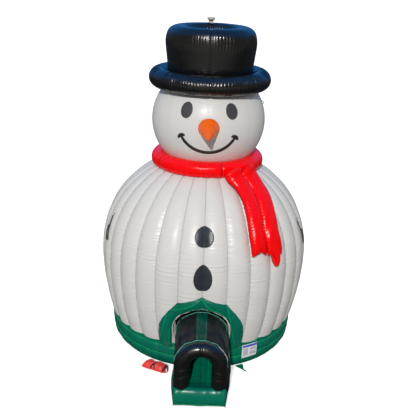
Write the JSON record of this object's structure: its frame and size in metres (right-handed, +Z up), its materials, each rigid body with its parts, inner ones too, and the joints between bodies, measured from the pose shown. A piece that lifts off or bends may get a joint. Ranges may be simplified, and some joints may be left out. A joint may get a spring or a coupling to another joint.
{
  "type": "inflatable snowman bounce house",
  "caption": "Constant-air snowman bounce house with hat, scarf, green base ring, crawl tunnel with arch, jump chamber inside, sandbag, tethers and a blower on its sleeve.",
  "frame": {"origin": "on the ground under the middle of the body", "axes": "+Z up, the entrance tunnel points along -Y, the scarf tails hang on the +X side"},
  "size_m": [4.5512, 6.84, 7.07],
  "materials": {
    "white_vinyl": "satin",
    "green_vinyl": "satin",
    "black_vinyl": "glossy",
    "red_vinyl": "glossy",
    "orange_vinyl": "satin",
    "charcoal_vinyl": "satin",
    "webbing": "woven",
    "rope": "braided",
    "steel": "plated",
    "vent_fabric": "woven",
    "sandbag_vinyl": "satin",
    "sleeve_fabric": "coated",
    "label_vinyl": "printed",
    "housing_plastic": "moulded",
    "dark_plastic": "moulded",
    "fan_plastic": "moulded",
    "motor_metal": "cast",
    "zipper_tape": "woven",
    "switch_red": "moulded"
  },
  "bodies": {
    "bouncer": {"body_wall_front": "white_vinyl", "body_wall_right_front": "white_vinyl", "body_wall_right_rear": "white_vinyl", "body_wall_left_rear": "white_vinyl", "body_wall_left_front": "white_vinyl", "neck_ceiling": "white_vinyl", "doorway_lining": "white_vinyl", "head_envelope": "white_vinyl", "base_ring": "green_vinyl", "bounce_floor": "green_vinyl", "doorway_border": "green_vinyl", "entrance_ramp": "green_vinyl", "roof_stripe": "green_vinyl", "hat_brim": "black_vinyl", "hat_crown": "black_vinyl", "button_upper": "black_vinyl", "button_lower": "black_vinyl", "entrance_arch": "black_vinyl", "tunnel_roof": "black_vinyl", "scarf_collar": "red_vinyl", "scarf_tail_inner": "red_vinyl", "scarf_tail_outer": "red_vinyl", "nose_cone": "orange_vinyl", "eye_left": "charcoal_vinyl", "eye_right": "charcoal_vinyl", "mouth_smile": "charcoal_vinyl", "tether_patch_left": "webbing", "tether_patch_right": "webbing", "head_tether_loop": "webbing", "vent_tie": "webbing", "sleeve_strap": "webbing", "vent_tube": "vent_fabric", "inflation_sleeve": "sleeve_fabric", "label_panel": "label_vinyl", "blower_housing_left": "housing_plastic", "blower_housing_right": "housing_plastic", "intake_grille_left": "dark_plastic", "intake_grille_right": "dark_plastic", "blower_handle": "dark_plastic", "blower_stand": "dark_plastic", "switch_box": "dark_plastic", "cord_gland": "dark_plastic", "blower_motor": "motor_metal", "zipper_tape": "zipper_tape"},
    "impeller": {"impeller": "fan_plastic"},
    "rocker": {"rocker_switch": "switch_red"},
    "zipper_slider_body": {"zipper_slider": "steel"},
    "sandbag_body": {"sandbag": "sandbag_vinyl", "sandbag_strap": "webbing"},
    "tab_front_right": {"anchor_tab_front_right": "green_vinyl"},
    "tab_rear_right": {"anchor_tab_rear_right": "green_vinyl"},
    "tab_rear_left": {"anchor_tab_rear_left": "green_vinyl"},
    "tether_left": {"tether_ring_left": "steel", "tether_rope_left": "rope"},
    "tether_right": {"tether_ring_right": "steel", "tether_rope_right": "rope"}
  },
  "joints": [
    {"name": "impeller_spin", "type": "hinge", "parent": "bouncer", "child": "impeller", "pos_m": [0, 3.19842, 0.29], "axis": [1, 0, 0], "continuous": true},
    {"name": "rocker_press", "type": "hinge", "parent": "bouncer", "child": "rocker", "pos_m": [-0.153, 3.00842, 0.115], "axis": [0, -1, 0], "range_deg": [0, 20]},
    {"name": "zipper_slide", "type": "slide", "parent": "bouncer", "child": "zipper_slider_body", "axis": [0.0735, 0.1328, 0.9884], "range_m": [0, 0.36]},
    {"name": "sandbag_lift", "type": "slide", "parent": "bouncer", "child": "sandbag_body", "axis": [0, 0, 1], "range_m": [0, 0.3]},
    {"name": "tab_front_right_lift", "type": "hinge", "parent": "bouncer", "child": "tab_front_right", "pos_m": [0.8438, -1.76907, 0], "axis": [-0.9026, -0.4305, 0], "range_deg": [0, 50]},
    {"name": "tab_rear_right_lift", "type": "hinge", "parent": "bouncer", "child": "tab_rear_right", "pos_m": [0.8438, 1.76907, 0], "axis": [0.9026, -0.4305, 0], "range_deg": [0, 50]},
    {"name": "tab_rear_left_lift", "type": "hinge", "parent": "bouncer", "child": "tab_rear_left", "pos_m": [-0.8438, 1.76907, 0], "axis": [0.9026, 0.4305, 0], "range_deg": [0, 50]},
    {"name": "tether_left_swing", "type": "hinge", "parent": "bouncer", "child": "tether_left", "pos_m": [-1.93861, -0.80697, 3.03785], "axis": [-0.3843, 0.9232, 0], "range_deg": [0, 25]},
    {"name": "tether_right_swing", "type": "hinge", "parent": "bouncer", "child": "tether_right", "pos_m": [1.9643, -0.74225, 3.03785], "axis": [-0.3535, -0.9354, 0], "range_deg": [0, 25]}
  ]
}
